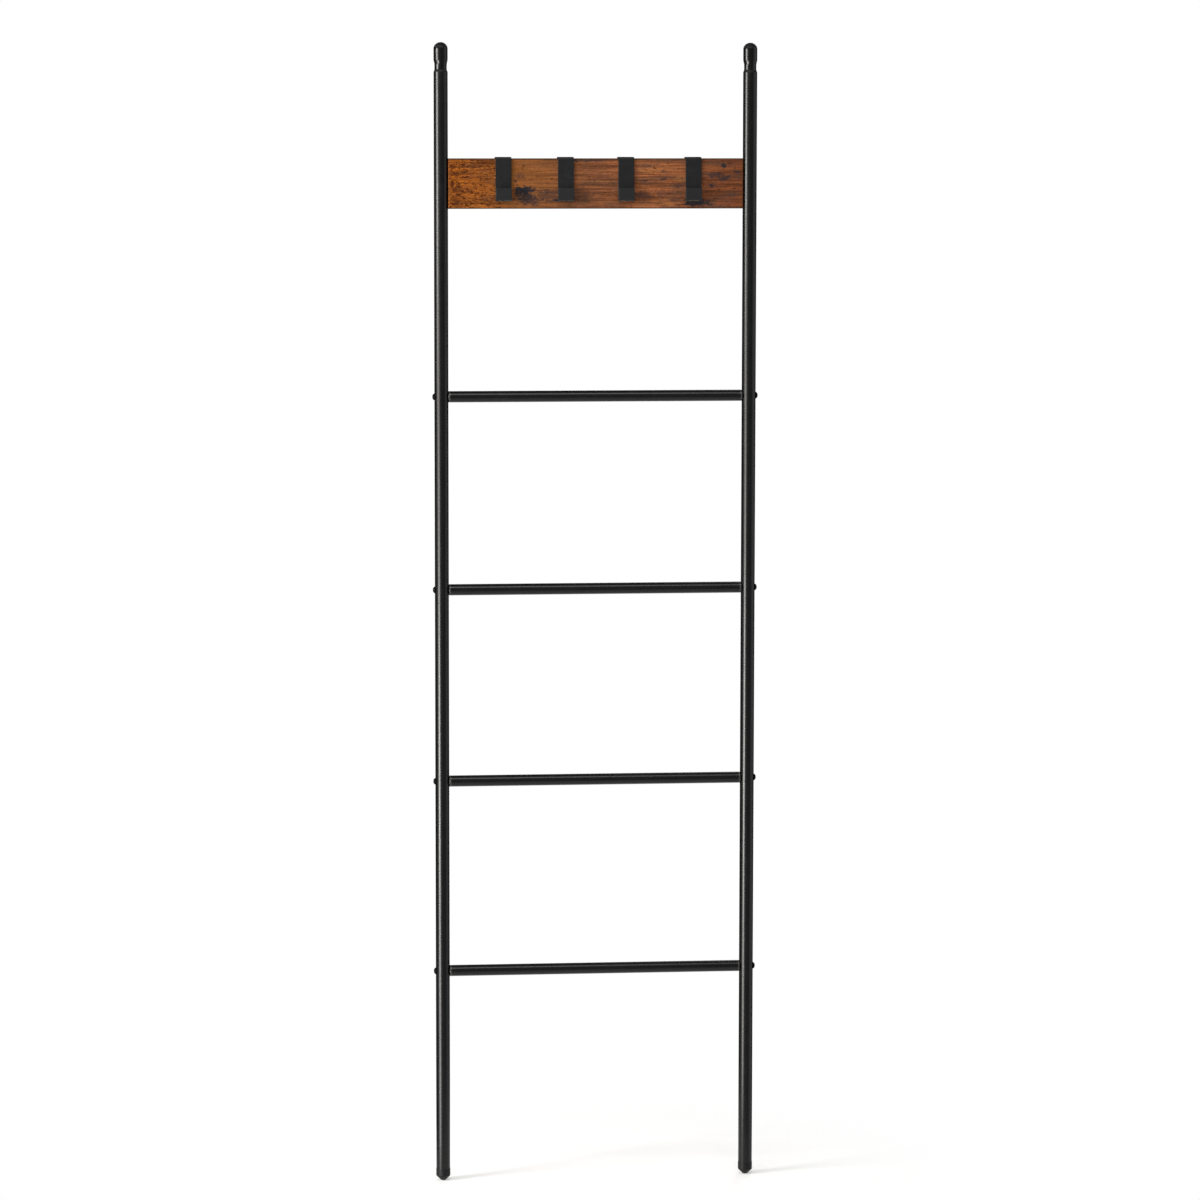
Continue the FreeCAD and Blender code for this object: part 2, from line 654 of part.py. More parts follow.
def make_ladder():
    nodes = []
    bolts = []
    screws = []
    for name, side in SIDES:
        nodes.append(make_leg(f"{name}_leg", side))
        nodes.append(make_top_cap(f"{name}_top_cap", side))
        nodes.append(make_foot(f"{name}_foot", side))
        nodes.append(make_end_edging(f"board_{name}_edging", side))
        nodes.append(make_tab(f"{name}_board_tab", side))
        for end in (-1, 1):
            screws.append(make_screw(f"{name}_{'upper' if end > 0 else 'lower'}_screw", side, end))
    for number in range(int(size("dims.rung_count"))):
        height = f"dims.lowest_rung_height + {number} * fits.rung_pitch"
        rung_name = f"rung_{number + 1}"
        rung = make_tube(rung_name, "YZ_Plane", "dims.rung_diameter", "fits.rung_bore", "fits.rung_length")
        place(rung, height=height)
        nodes.append(rung)
        for name, side in SIDES:
            nodes.append(make_rung_plug(f"{rung_name}_{name}_plug", side, height))
            bolts.append(make_bolt(f"{rung_name}_{name}_bolt", side, height))
    nodes.append(make_board())
    nodes.append(make_long_edging("board_top_edging", 1))
    nodes.append(make_long_edging("board_bottom_edging", -1))
    for number, share in enumerate(HOOK_PLACE_SHARES, start=1):
        nodes.append(make_hook(f"hook_{number}", share))
    nodes.append(make_group("rung_bolts", bolts))
    nodes.append(make_group("board_screws", screws))
    return nodes


def check(nodes):
    """Stop on a failed object or a bad shape before anything is written."""
    for item in doc.Objects:
        if "Invalid" in item.State or "Error" in item.State:
            raise RuntimeError(f"{item.Label} failed: {item.State}")
    for node in nodes:
        if node.Shape.isNull() or not node.Shape.isValid():
            raise RuntimeError(f"{node.Label} has no valid shape")


nodes = make_ladder()
doc.recompute()
check(nodes)
os.makedirs("parts", exist_ok=True)
for node in nodes:
    node.Shape.exportStep(f"parts/{node.Label}.step")
print(f"{len(nodes)} nodes, {sum(len(node.Shape.Solids) for node in nodes)} solids")
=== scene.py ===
import math

import bmesh
import bpy
from mathutils import Matrix, Vector


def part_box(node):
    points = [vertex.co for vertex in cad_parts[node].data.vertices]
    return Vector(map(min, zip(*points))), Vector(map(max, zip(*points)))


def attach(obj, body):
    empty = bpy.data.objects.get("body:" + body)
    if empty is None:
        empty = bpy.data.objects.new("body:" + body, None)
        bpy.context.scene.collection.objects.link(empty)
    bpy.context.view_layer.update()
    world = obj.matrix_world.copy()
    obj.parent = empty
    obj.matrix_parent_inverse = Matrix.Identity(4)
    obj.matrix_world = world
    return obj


# Towel ladder: finishes on the CAD pieces, weld beads, studio and camera

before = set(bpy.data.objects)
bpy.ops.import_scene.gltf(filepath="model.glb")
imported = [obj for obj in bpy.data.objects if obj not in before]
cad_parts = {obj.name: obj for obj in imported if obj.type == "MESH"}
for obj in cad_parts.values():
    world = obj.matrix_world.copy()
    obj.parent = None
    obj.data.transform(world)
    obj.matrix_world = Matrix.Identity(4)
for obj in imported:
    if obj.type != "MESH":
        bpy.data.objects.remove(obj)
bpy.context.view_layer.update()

WHITE = (1.0, 1.0, 1.0, 1.0)


# Node building


def rgba(colour):
    """A linear colour as the four numbers that a socket takes."""
    return (*colour, 1.0)


def greys(values):
    """Numbers as the grey colours that a ramp blends."""
    return [3 * (value,) for value in values]


def node(tree, kind, settings=None, values=None):
    """A new shader node. A value is a number, a colour, or the socket that feeds the input."""
    made = tree.nodes.new("ShaderNode" + kind)
    for name, value in (settings or {}).items():
        setattr(made, name, value)
    for name, value in (values or {}).items():
        if isinstance(value, bpy.types.NodeSocket):
            tree.links.new(value, made.inputs[name])
        else:
            made.inputs[name].default_value = value
    return made


def maths(tree, operation, first, second=0.0, clamp=False):
    """Arithmetic on two values."""
    settings = {"operation": operation, "use_clamp": clamp}
    return node(tree, "Math", settings, {0: first, 1: second}).outputs[0]


def vectors(tree, operation, first, second=(0.0, 0.0, 0.0)):
    """Arithmetic on two vectors. A length or a dot product comes out as a value."""
    made = node(tree, "VectorMath", {"operation": operation}, {0: first, 1: second})
    return made.outputs["Value" if operation in ("LENGTH", "DOT_PRODUCT") else "Vector"]


def scaled(tree, vector, share):
    """A vector or a colour times one value."""
    return node(tree, "VectorMath", {"operation": "SCALE"}, {0: vector, "Scale": share}).outputs["Vector"]


def axes(tree, vector):
    """The X, Y and Z of a vector."""
    return node(tree, "SeparateXYZ", None, {0: vector}).outputs


def ease(tree, value, start, end, first=0.0, last=1.0):
    """Value eased from first at start to last at end, and held beyond both."""
    values = {"Value": value, "From Min": start, "From Max": end, "To Min": first, "To Max": last}
    return node(tree, "MapRange", {"interpolation_type": "SMOOTHSTEP"}, values).outputs[0]


def swing(tree, wave, size):
    """A noise that runs from 0 to 1, made to swing to both sides of 0 and sized."""
    return maths(tree, "MULTIPLY", maths(tree, "SUBTRACT", wave, 0.5), size)


def shifted(tree, value, mask, amount):
    """A value from 0 to 1, raised or lowered by an amount where the mask is."""
    return maths(tree, "ADD", value, maths(tree, "MULTIPLY", mask, amount), clamp=True)


def paint(tree, mask, under, colour):
    """A colour laid over what is under it, where the mask is."""
    return node(tree, "Mix", {"data_type": "RGBA"}, {0: mask, 6: under, 7: rgba(colour)}).outputs[2]


def shaded(tree, colour, tone, dark_at, pale_at, depth):
    """A colour made darker or paler by up to depth, as a tone runs from dark_at to pale_at."""
    darkest = maths(tree, "SUBTRACT", 1.0, depth)
    palest = maths(tree, "ADD", 1.0, depth)
    return scaled(tree, colour, ease(tree, tone, dark_at, pale_at, darkest, palest))


def ramp(tree, value, places, colours):
    """Colour along a row of places from 0 to 1, each with its own linear colour."""
    made = node(tree, "ValToRGB", None, {0: value})
    elements = made.color_ramp.elements
    while len(elements) < len(places):
        elements.new(0.5)
    for element, place, colour in zip(elements, places, colours):
        element.position = place
        element.color = rgba(colour)
    return made.outputs[0]


def part_place(tree):
    """The point on the surface, in the part's own metres."""
    return node(tree, "TexCoord").outputs["Object"]


def surface_normal(tree):
    """The way that the surface faces."""
    return node(tree, "NewGeometry").outputs["Normal"]


def noise(tree, place, scale=1.0, stretch=None, detail=2.0, roughness=0.5):
    """Soft noise from 0 to 1, with one scale or with its own waves per metre along each axis."""
    if stretch:
        place = node(tree, "Mapping", None, {"Vector": place, "Scale": stretch}).outputs[0]
    values = {"Vector": place, "Scale": scale, "Detail": detail, "Roughness": roughness}
    return node(tree, "TexNoise", None, values).outputs[0]


def new_group(name, inputs, outputs):
    """An empty node group with named sockets, as its tree, its inputs and its outputs."""
    tree = bpy.data.node_groups.new(name, "ShaderNodeTree")
    for label, kind, value in inputs:
        socket = tree.interface.new_socket(label, in_out="INPUT", socket_type="NodeSocket" + kind)
        socket.default_value = value
    for label, kind in outputs:
        tree.interface.new_socket(label, in_out="OUTPUT", socket_type="NodeSocket" + kind)
    return tree, tree.nodes.new("NodeGroupInput").outputs, tree.nodes.new("NodeGroupOutput").inputs


def effect(tree, group, values):
    """A node group placed in a material with its own values; its outputs."""
    return node(tree, "Group", {"node_tree": group}, values).outputs


def bare_material(name):
    """A material with an empty tree, as itself, its tree and the socket for its surface."""
    made = bpy.data.materials.new(name)
    made.use_nodes = True
    tree = made.node_tree
    tree.nodes.clear()
    return made, tree, node(tree, "OutputMaterial").inputs["Surface"]


def new_material(name):
    """A material with one shader on its surface, as itself, its tree and that shader."""
    made, tree, surface = bare_material(name)
    shader = node(tree, "BsdfPrincipled")
    tree.links.new(shader.outputs[0], surface)
    return made, tree, shader


def feed(tree, shader, colour, roughness, height, relief):
    """Links a colour and a roughness into the shader, and a height as relief in metres."""
    tree.links.new(colour, shader.inputs["Base Color"])
    tree.links.new(roughness, shader.inputs["Roughness"])
    bump = node(tree, "Bump", None, {"Height": height, "Distance": relief})
    tree.links.new(bump.outputs[0], shader.inputs["Normal"])


# Effects that several finishes share


def make_skin():
    """Cloudy colour and gloss with the fine peel of a sprayed coat or a moulded skin."""
    tree, given, out = new_group(
        "skin",
        (
            ("Colour", "Color", rgba((0.01, 0.01, 0.01))),
            ("Cloud", "Float", 0.2),
            ("Cloud Scale", "Float", 60.0),
            ("Roughness", "Float", 0.3),
            ("Gloss Drift", "Float", 0.08),
            ("Peel Scale", "Float", 900.0),
        ),
        (("Colour", "Color"), ("Roughness", "Float"), ("Height", "Float")),
    )
    place = part_place(tree)
    cloud = noise(tree, place, scale=given["Cloud Scale"], detail=4.0, roughness=0.6)
    clouded = shaded(tree, given["Colour"], cloud, dark_at=0.3, pale_at=0.7, depth=given["Cloud"])
    tree.links.new(clouded, out["Colour"])
    drift = noise(tree, place, stretch=(140.0, 140.0, 60.0), detail=3.0, roughness=0.6)
    drift = swing(tree, drift, given["Gloss Drift"])
    tree.links.new(maths(tree, "ADD", given["Roughness"], drift), out["Roughness"])
    tree.links.new(noise(tree, place, scale=given["Peel Scale"], detail=1.5), out["Height"])
    return tree


def make_rubbed_edges():
    """Mask of edges where handling has rubbed the finish, broken up along the edge."""
    tree, given, out = new_group(
        "rubbed_edges",
        (("Reach", "Float", 0.0006), ("Rub", "Float", 1.0)),
        (("Mask", "Float"),),
    )
    rounded = node(tree, "Bevel", {"samples": 4}, {"Radius": given["Reach"]}).outputs[0]
    alike = vectors(tree, "DOT_PRODUCT", rounded, surface_normal(tree))
    edge = ease(tree, alike, start=0.995, end=0.86)
    patches = noise(tree, part_place(tree), scale=170.0, detail=3.0, roughness=0.65)
    mask = maths(tree, "MULTIPLY", edge, ease(tree, patches, start=0.42, end=0.62))
    tree.links.new(maths(tree, "MULTIPLY", mask, given["Rub"], clamp=True), out["Mask"])
    return tree


def make_scuffs():
    """Mask of a few hair-fine scuffs that run along one direction."""
    tree, given, out = new_group(
        "scuffs",
        (("Stretch", "Vector", (900.0, 900.0, 30.0)), ("Share", "Float", 0.5)),
        (("Mask", "Float"),),
    )
    place = part_place(tree)
    along = vectors(tree, "MULTIPLY", place, given["Stretch"])
    off_line = maths(tree, "ABSOLUTE", maths(tree, "SUBTRACT", noise(tree, along, detail=1.0), 0.5))
    line = ease(tree, off_line, start=0.016, end=0.004)
    rare = noise(tree, place, scale=16.0, detail=3.0, roughness=0.6)
    mask = maths(tree, "MULTIPLY", line, ease(tree, rare, start=0.54, end=0.66))
    tree.links.new(maths(tree, "MULTIPLY", mask, given["Share"], clamp=True), out["Mask"])
    return tree


def make_dust():
    """Mask of the thin dust that settles on what faces up."""
    tree, given, out = new_group(
        "dust",
        (("Share", "Float", 0.3),),
        (("Mask", "Float"),),
    )
    upward = ease(tree, axes(tree, surface_normal(tree))["Z"], start=0.45, end=1.0)
    drifts = noise(tree, part_place(tree), scale=240.0, detail=4.0, roughness=0.65)
    mask = maths(tree, "MULTIPLY", upward, ease(tree, drifts, start=0.3, end=0.75))
    tree.links.new(maths(tree, "MULTIPLY", mask, given["Share"], clamp=True), out["Mask"])
    return tree


# Kinds of wood grain: waves per metre along X, Y and Z, and how finely each is broken up
GRAIN_WAVES = {
    "Fibre": ((16.0, 60.0, 560.0), 4.0),
    "Band": ((6.0, 40.0, 110.0), 3.0),
    "Dash": ((150.0, 150.0, 560.0), 3.0),
    "Pepper": ((300.0, 300.0, 480.0), 2.0),
    "Smoke": ((26.0, 26.0, 80.0), 4.0),
}


def make_level_grain():
    """Level wood grain: fine fibres, broad bands, short dark dashes, pepper marks and smoky patches."""
    tree, given, out = new_group(
        "level_grain",
        (("Fineness", "Float", 1.0), ("Waver", "Float", 0.0022)),
        [(kind, "Float") for kind in GRAIN_WAVES],
    )
    place = part_place(tree)
    lift = swing(tree, noise(tree, place, stretch=(18.0, 60.0, 45.0)), given["Waver"])
    waved = vectors(tree, "ADD", place, node(tree, "CombineXYZ", None, {"Z": lift}).outputs[0])
    waved = scaled(tree, waved, given["Fineness"])
    for kind, (stretch, detail) in GRAIN_WAVES.items():
        tree.links.new(noise(tree, waved, stretch=stretch, detail=detail, roughness=0.6), out[kind])
    return tree


def make_torn_spot():
    """Mask of one oval mark whose rim is torn by a noise; tightness is 1 over its half sizes."""
    tree, given, out = new_group(
        "torn_spot",
        (
            ("Place", "Vector", (0.0, 0.0, 0.0)),
            ("Middle", "Vector", (0.0, 0.0, 0.0)),
            ("Tightness", "Vector", (100.0, 0.0, 100.0)),
            ("Strength", "Float", 1.0),
            ("Tear", "Float", 0.0),
        ),
        (("Mask", "Float"),),
    )
    away = vectors(tree, "SUBTRACT", given["Place"], given["Middle"])
    away = vectors(tree, "LENGTH", vectors(tree, "MULTIPLY", away, given["Tightness"]))
    mask = ease(tree, maths(tree, "ADD", away, given["Tear"]), start=1.3, end=0.8)
    tree.links.new(maths(tree, "MULTIPLY", mask, given["Strength"]), out["Mask"])
    return tree


SKIN = make_skin()
RUBBED_EDGES = make_rubbed_edges()
SCUFFS = make_scuffs()
DUST = make_dust()
LEVEL_GRAIN = make_level_grain()
TORN_SPOT = make_torn_spot()


# Black coats and mouldings, and zinc

DUST_GREY = (0.16, 0.155, 0.15)
DUST_ROUGHENS = 0.3
SCUFF_ROUGHENS = 0.15
RUB_SMOOTHS = -0.12
RUB_REACH = 0.0007

CAP_DULLING = 0.5
# Hooks: the lips painted paler as painted light, and a painted reflection along each toe's bend
LIP_THICKNESS = 0.002
LIP_BLUR = 0.0004
LIP_PAINTED_LIGHT_SHARE = 0.5
LIP_PAINTED_LIGHT_COLOUR = (0.025, 0.0255, 0.027)
TOE_REFLECTION_TOP = 0.0016
TOE_REFLECTION_FULL = 0.0007
TOE_PAINTED_REFLECTION_COLOUR = (0.16, 0.13, 0.1)

ZINC_COLOUR = (0.5, 0.5, 0.48)
ZINC_TARNISH = (0.42, 0.38, 0.27)
ZINC_SCUFF = (0.22, 0.22, 0.22)


def dark_finish(name, colour, roughness, specular, cloud=0.2, cloud_scale=60.0, peel_scale=900.0,
                peel_depth=0.00002, wear_and_light=None, scuffs=0.0, scuff_run=(900.0, 900.0, 30.0), rub=0.0,
                rubbed=(0.08, 0.08, 0.083), dust=0.1):
    """A black coat or moulding: clouded skin, peel, rubbed edges, scuffs and a little dust.

    Wear and light is a function that changes the colour and the gloss further for one piece, with handling
    wear on the caps and painted light on the hooks.
    """
    made, tree, shader = new_material(name)
    skin = effect(tree, SKIN, {"Colour": rgba(colour), "Cloud": cloud, "Cloud Scale": cloud_scale,
                               "Roughness": roughness, "Peel Scale": peel_scale})
    shown, rough = skin["Colour"], skin["Roughness"]
    if wear_and_light:
        shown, rough = wear_and_light(tree, shown, rough)
    if scuffs:
        mask = effect(tree, SCUFFS, {"Stretch": scuff_run, "Share": scuffs})["Mask"]
        shown = paint(tree, mask, shown, rubbed)
        rough = shifted(tree, rough, mask, SCUFF_ROUGHENS)
    if rub:
        mask = effect(tree, RUBBED_EDGES, {"Reach": RUB_REACH, "Rub": rub})["Mask"]
        shown = paint(tree, mask, shown, rubbed)
        rough = shifted(tree, rough, mask, RUB_SMOOTHS)
    if dust:
        mask = effect(tree, DUST, {"Share": dust})["Mask"]
        shown = paint(tree, mask, shown, DUST_GREY)
        rough = shifted(tree, rough, mask, DUST_ROUGHENS)
    feed(tree, shader, shown, rough, skin["Height"], peel_depth)
    shader.inputs["Specular IOR Level"].default_value = specular
    return made


def cap_wear(tree, shown, rough):
    """Gloss dulled by handling wherever a cap faces up."""
    upward = ease(tree, axes(tree, surface_normal(tree))["Z"], start=0.15, end=0.45)
    return shown, shifted(tree, rough, upward, CAP_DULLING)


def hook_painted_light(tree, shown, rough):
    """Painted light on the hooks: lips painted paler, and a painted reflection along the bottom of each
    toe, broken into patches.
    """
    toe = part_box("hook_1")[0].z
    lip_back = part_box("hook_1")[0].y + LIP_THICKNESS
    place = part_place(tree)
    lip = ease(tree, axes(tree, place)["Y"], lip_back + LIP_BLUR, lip_back - LIP_BLUR)
    # Painted light: the lip plate is painted paler than the shank, as if it caught more light.
    shown = paint(tree, maths(tree, "MULTIPLY", lip, LIP_PAINTED_LIGHT_SHARE), shown, LIP_PAINTED_LIGHT_COLOUR)
    # Painted reflection: a warm pale line along the bottom of each toe's bend on the lip's front, broken
    # into patches.
    patches = ease(tree, noise(tree, place, scale=130.0, detail=3.0, roughness=0.6), start=0.42, end=0.56)
    low = ease(tree, axes(tree, place)["Z"], toe + TOE_REFLECTION_TOP, toe + TOE_REFLECTION_FULL)
    rubbed = maths(tree, "MULTIPLY", maths(tree, "MULTIPLY", low, patches), lip)
    return paint(tree, rubbed, shown, TOE_PAINTED_REFLECTION_COLOUR), rough


def zinc_finish():
    """Bright zinc plate with a faint yellow cloud and handling scuffs."""
    made, tree, shader = new_material("zinc_screw_finish")
    skin = effect(tree, SKIN, {"Colour": rgba(ZINC_COLOUR), "Cloud": 0.12, "Cloud Scale": 500.0,
                               "Roughness": 0.34, "Gloss Drift": 0.16, "Peel Scale": 2600.0})
    cloud = noise(tree, part_place(tree), scale=320.0, detail=3.0, roughness=0.6)
    tarnish = ease(tree, cloud, start=0.45, end=0.7, last=0.5)
    shown = paint(tree, tarnish, skin["Colour"], ZINC_TARNISH)
    mask = effect(tree, SCUFFS, {"Stretch": (1500.0, 1500.0, 1500.0), "Share": 0.8})["Mask"]
    shown = paint(tree, mask, shown, ZINC_SCUFF)
    feed(tree, shader, shown, skin["Roughness"], skin["Height"], relief=0.00001)
    shader.inputs["Metallic"].default_value = 1.0
    return made


# Board and edging

# Marks on the board's face: middle across and up, half length, half height (m), strength
DARK_MARKS = {
    "knot_head": (-0.1032, 1.4292, 0.0138, 0.0064, 1.0),
    "knot_body": (-0.1000, 1.4225, 0.0120, 0.0078, 0.9),
    "knot_tail": (-0.0955, 1.4158, 0.0128, 0.0066, 0.72),
    "knot_foot": (-0.1110, 1.4165, 0.0060, 0.0050, 0.45),
    "knot_speck": (-0.1155, 1.4437, 0.0018, 0.0018, 0.9),
    "knot_flecks": (-0.1087, 1.4500, 0.0071, 0.0049, 0.35),
    "spot_by_hook_2": (-0.0574, 1.4168, 0.0034, 0.0021, 0.95),
    "smoke_by_hook_2": (-0.0688, 1.4239, 0.0150, 0.0085, 0.55),
    "top_streak": (-0.0133, 1.4726, 0.0200, 0.0018, 0.7),
    "grey_past_hook_2": (-0.0204, 1.4238, 0.0128, 0.0085, 0.3),
    "fleck_high": (0.0958, 1.4568, 0.0037, 0.0014, 0.6),
    "fleck_left": (0.0688, 1.4441, 0.0057, 0.0017, 0.55),
    "fleck_right": (0.0967, 1.4470, 0.0037, 0.0016, 0.55),
    "shade_low": (0.0667, 1.4237, 0.0114, 0.0050, 0.4),
    "shade_low_run": (0.0945, 1.4268, 0.0140, 0.0045, 0.35),
    "shade_mid": (0.1182, 1.4378, 0.0086, 0.0020, 0.5),
    "shade_foot": (0.1132, 1.4173, 0.0072, 0.0023, 0.45),
    "square_spot": (0.1826, 1.4650, 0.0030, 0.0030, 0.95),
    "cluster_left": (0.1694, 1.4519, 0.0098, 0.0034, 0.75),
    "cluster_middle": (0.1822, 1.4485, 0.0080, 0.0036, 0.75),
    "cluster_right": (0.2018, 1.4567, 0.0058, 0.0026, 0.65),
    "spot_low": (0.1649, 1.4373, 0.0038, 0.0024, 0.95),
    "smoke_by_spot": (0.1640, 1.4370, 0.0100, 0.0050, 0.3),
    # Faint painted shade in the lower corner by the right leg.
    "painted_shade_by_right_leg": (0.1900, 1.4185, 0.0170, 0.0060, 0.15),
    "under_hook_4": (0.1422, 1.4128, 0.0185, 0.0048, 0.95),
}
BROWN_MARKS = {
    "left_end_spot": (-0.2050, 1.4398, 0.0024, 0.0042, 0.95),
    "left_end_dot": (-0.2073, 1.4645, 0.0021, 0.0021, 0.85),
    "left_end_fleck": (-0.2013, 1.4319, 0.0030, 0.0027, 0.85),
    "left_end_run": (-0.1960, 1.4300, 0.0052, 0.0015, 0.7),
    "left_end_foot": (-0.2025, 1.4180, 0.0040, 0.0024, 0.65),
    "left_end_dash": (-0.1790, 1.4290, 0.0040, 0.0018, 0.7),
    "left_end_low_dash": (-0.1640, 1.4245, 0.0062, 0.0016, 0.55),
    "left_end_high_dash": (-0.1880, 1.4570, 0.0045, 0.0014, 0.6),
    "left_end_middle": (-0.1650, 1.4415, 0.0140, 0.0090, 0.2),
    "shade_by_hook_1": (-0.1552, 1.4705, 0.0114, 0.0042, 0.6),
}
PALE_MARKS = {
    "pale_streak": (0.0110, 1.4431, 0.0171, 0.0011, 0.6),
    "pale_band": (0.0781, 1.4591, 0.0229, 0.0031, 0.55),
    "pale_by_hook_4": (0.1225, 1.4478, 0.0080, 0.0045, 0.45),
    "pale_foot": (0.1054, 1.4102, 0.0072, 0.0026, 0.6),
}

# Along the board: share from the left end, linear colour, crowd of dashes, depth of grain, smoke
BOARD_ZONES = (
    (0.0, (0.350, 0.098, 0.0095), 1.0, 0.48, 0.15),
    (0.14, (0.322, 0.098, 0.0165), 0.95, 0.50, 0.5),
    (0.22, (0.250, 0.086, 0.0200), 0.08, 0.32, 0.25),
    (0.4, (0.226, 0.081, 0.0280), 0.06, 0.40, 0.4),
    (0.5, (0.220, 0.077, 0.0310), 0.08, 0.52, 0.6),
    (0.7, (0.282, 0.095, 0.0350), 0.08, 0.56, 0.8),
    (1.0, (0.158, 0.0475, 0.0175), 0.12, 0.52, 0.8),
)
BOARD_LENGTH = 0.4206
BOARD_SPECULAR = 0.08
BOARD_RELIEF = 0.0001
GRAIN_SHARES = {"Fibre": 0.62, "Band": 0.2, "Pepper": 0.18}
MARK_TEAR = 4.4
BROWN_TEAR = 5.0
CROWDING = 0.13
FLECK_DENT = 0.5
MARK_COLOUR = (0.021, 0.021, 0.026)
SMOKE_COLOUR = (0.080, 0.046, 0.033)
DASH_COLOUR = (0.066, 0.015, 0.002)
PALE_COLOUR = (0.36, 0.14, 0.045)

EDGING_SPECULAR = 0.1
EDGING_RELIEF = 0.00005
EDGING_RUBBED = (0.17, 0.085, 0.045)
EDGING_TONES = ((0.3, 0.5), (0.5, 1.0), (0.7, 1.75))
DARK_EDGING = (0.062, 0.027, 0.013)
END_EDGINGS = {"left": (0.24, 0.072, 0.012), "right": (0.105, 0.036, 0.014)}


def marked(tree, place, marks, tear, front):
    """The strongest of a set of marks at each point of the board's front."""
    strongest = 0.0
    for across, up, half_length, half_height, strength in marks.values():
        values = {"Place": place, "Middle": (across, 0.0, up), "Strength": strength, "Tear": tear,
                  "Tightness": (1.0 / half_length, 0.0, 1.0 / half_height)}
        strongest = maths(tree, "MAXIMUM", effect(tree, TORN_SPOT, values)["Mask"], strongest)
    return maths(tree, "MULTIPLY", strongest, front)


def short_dashes(tree, place, grain, crowd):
    """Short dark dashes and pepper, as crowded as the board's zone says and unevenly strong."""
    patchy = noise(tree, place, stretch=(22.0, 22.0, 40.0))
    patchy = ease(tree, patchy, start=0.36, end=0.6, first=0.72)
    rich = maths(tree, "MULTIPLY", maths(tree, "MULTIPLY", crowd, patchy), CROWDING)
    dashes = ease(tree, maths(tree, "ADD", grain["Dash"], rich), start=0.61, end=0.66)
    pepper = ease(tree, maths(tree, "ADD", grain["Pepper"], rich), start=0.66, end=0.71)
    uneven = noise(tree, place, stretch=(90.0, 90.0, 260.0))
    uneven = ease(tree, uneven, start=0.36, end=0.58, first=0.45)
    return maths(tree, "MULTIPLY", maths(tree, "MAXIMUM", dashes, pepper), uneven)


def board_finish():
    """Rustic wood-look face: level grain, orange at the left end and redder to the right, with marks."""
    made, tree, shader = new_material("rustic_board_face")
    grain = effect(tree, LEVEL_GRAIN, {"Fineness": 1.0, "Waver": 0.0016})
    place = part_place(tree)
    share = maths(tree, "ADD", maths(tree, "DIVIDE", axes(tree, place)["X"], BOARD_LENGTH), 0.5)
    places, colours, crowds, depths, smokes = zip(*BOARD_ZONES)
    crowd, depth, smoke = (ramp(tree, share, places, greys(values)) for values in (crowds, depths, smokes))
    tone = 0.0
    for kind, weight in GRAIN_SHARES.items():
        tone = maths(tree, "ADD", tone, maths(tree, "MULTIPLY", grain[kind], weight))
    shown = shaded(tree, ramp(tree, share, places, colours), tone, dark_at=0.37, pale_at=0.63, depth=depth)
    smoky = maths(tree, "MULTIPLY", ease(tree, grain["Smoke"], start=0.42, end=0.72), smoke)
    shown = paint(tree, smoky, shown, SMOKE_COLOUR)
    front = ease(tree, axes(tree, surface_normal(tree))["Y"], start=-0.4, end=-0.6)
    tear = noise(tree, place, stretch=(210.0, 210.0, 420.0), detail=5.0, roughness=0.7)
    tear = swing(tree, tear, MARK_TEAR)
    shown = paint(tree, marked(tree, place, PALE_MARKS, tear, front), shown, PALE_COLOUR)
    browns = marked(tree, place, BROWN_MARKS, swing(tree, grain["Dash"], BROWN_TEAR), front)
    flecks = maths(tree, "MAXIMUM", short_dashes(tree, place, grain, crowd), browns)
    shown = paint(tree, flecks, shown, DASH_COLOUR)
    shown = paint(tree, marked(tree, place, DARK_MARKS, tear, front), shown, MARK_COLOUR)
    rough = ease(tree, grain["Fibre"], start=0.3, end=0.7, first=0.6, last=0.46)
    height = maths(tree, "SUBTRACT", grain["Fibre"], maths(tree, "MULTIPLY", flecks, FLECK_DENT))
    feed(tree, shader, shown, rough, height, BOARD_RELIEF)
    shader.inputs["Specular IOR Level"].default_value = BOARD_SPECULAR
    return made


def edging_finish(name, colour):
    """Edging strip with the board's grain printed on it, rubbed at its corners."""
    made, tree, shader = new_material(name)
    grain = effect(tree, LEVEL_GRAIN, {"Fineness": 1.4, "Waver": 0.001})
    places, shares = zip(*EDGING_TONES)
    tones = [tuple(share * part for part in colour) for share in shares]
    shown = ramp(tree, grain["Fibre"], places, tones)
    mask = effect(tree, RUBBED_EDGES, {"Reach": 0.0006, "Rub": 0.5})["Mask"]
    shown = paint(tree, mask, shown, EDGING_RUBBED)
    dusty = effect(tree, DUST, {"Share": 0.02})["Mask"]
    shown = paint(tree, dusty, shown, DUST_GREY)
    rough = ease(tree, grain["Fibre"], start=0.3, end=0.7, first=0.56, last=0.44)
    feed(tree, shader, shown, rough, grain["Fibre"], EDGING_RELIEF)
    shader.inputs["Specular IOR Level"].default_value = EDGING_SPECULAR
    return made


# Finishes on the pieces

